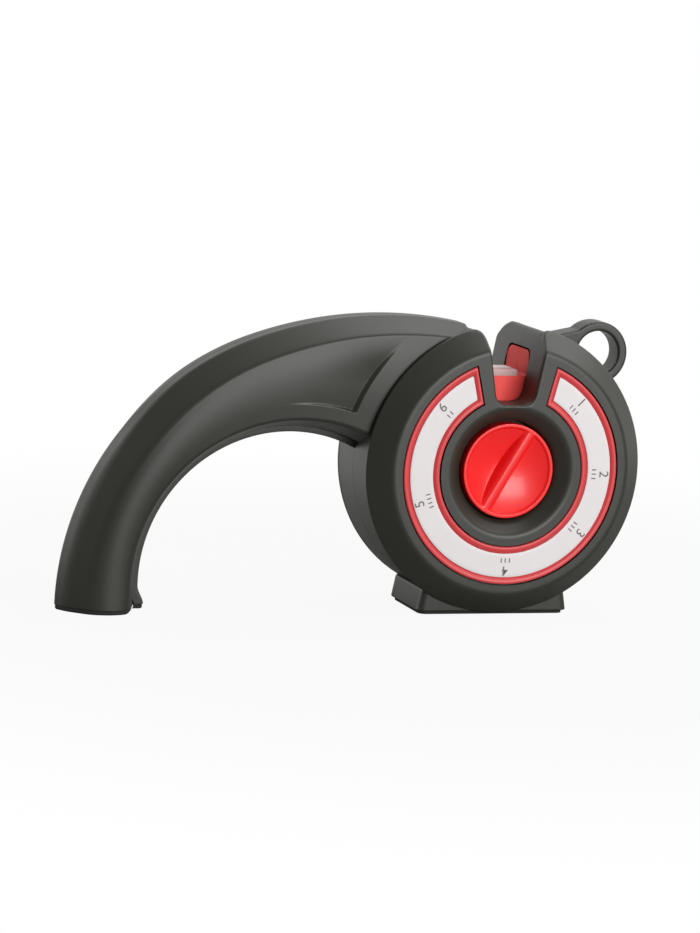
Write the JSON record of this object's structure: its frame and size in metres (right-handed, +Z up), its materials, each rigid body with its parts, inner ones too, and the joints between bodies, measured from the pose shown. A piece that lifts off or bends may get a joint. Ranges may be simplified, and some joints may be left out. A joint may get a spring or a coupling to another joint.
{
  "type": "manual knife sharpener",
  "caption": "Handheld rotary knife sharpener: round drum with a knife slot, dial and turning knob, an arched handle down to the table, a foot block and a hanging loop.",
  "frame": {"origin": "on the table under the drum axis, at the mid plane between the two body halves", "axes": "+X from the handle's foot towards the drum along the length, +Y from the dial to the back, +Z up"},
  "size_m": [0.2152, 0.05, 0.1084],
  "materials": {
    "body_plastic": "fine matt moulded texture",
    "red_tray": "satin",
    "scale_plate": "satin",
    "red_knob": "satin gloss",
    "red_turret": "satin",
    "foot_rubber": "matt",
    "screw_steel": "zinc plated",
    "axle_steel": "ground",
    "bush_plastic": "natural",
    "white_ceramic": "fired ceramic, matt",
    "carbide": "ground",
    "diamond_plate": "fine grit coated"
  },
  "bodies": {
    "housing": {"front_cap": "body_plastic", "rear_cap": "body_plastic", "front_shell": "body_plastic", "rear_shell": "body_plastic", "dial_tray": "red_tray", "dial_plate": "scale_plate", "hang_loop": "body_plastic", "base_pad": "foot_rubber", "handle_foot_pad": "foot_rubber", "case_screws": "screw_steel", "front_bush": "bush_plastic", "rear_bush": "bush_plastic", "click_spring": "axle_steel"},
    "turret": {"turret_front": "red_turret", "turret_rear": "red_turret", "turret_screws": "screw_steel", "axle": "axle_steel", "index_wheel": "bush_plastic", "rear_spacer": "bush_plastic", "selector_knob": "red_knob", "axle_washer": "screw_steel", "axle_screw": "screw_steel", "scissor_bar": "white_ceramic", "coarse_blade_left": "carbide", "coarse_blade_right": "carbide", "medium_plate_left": "diamond_plate", "medium_plate_right": "diamond_plate", "fine_plate_left": "white_ceramic", "fine_plate_right": "white_ceramic", "polish_plate_left": "white_ceramic", "polish_plate_right": "white_ceramic", "ceramic_knife_plate_left": "diamond_plate", "ceramic_knife_plate_right": "diamond_plate"}
  },
  "joints": [
    {"name": "selector_turn", "type": "hinge", "parent": "housing", "child": "turret", "pos_m": [0, 0, 0.0543], "axis": [0, -1, 0], "continuous": true, "deforming": ["click_spring"]}
  ]
}
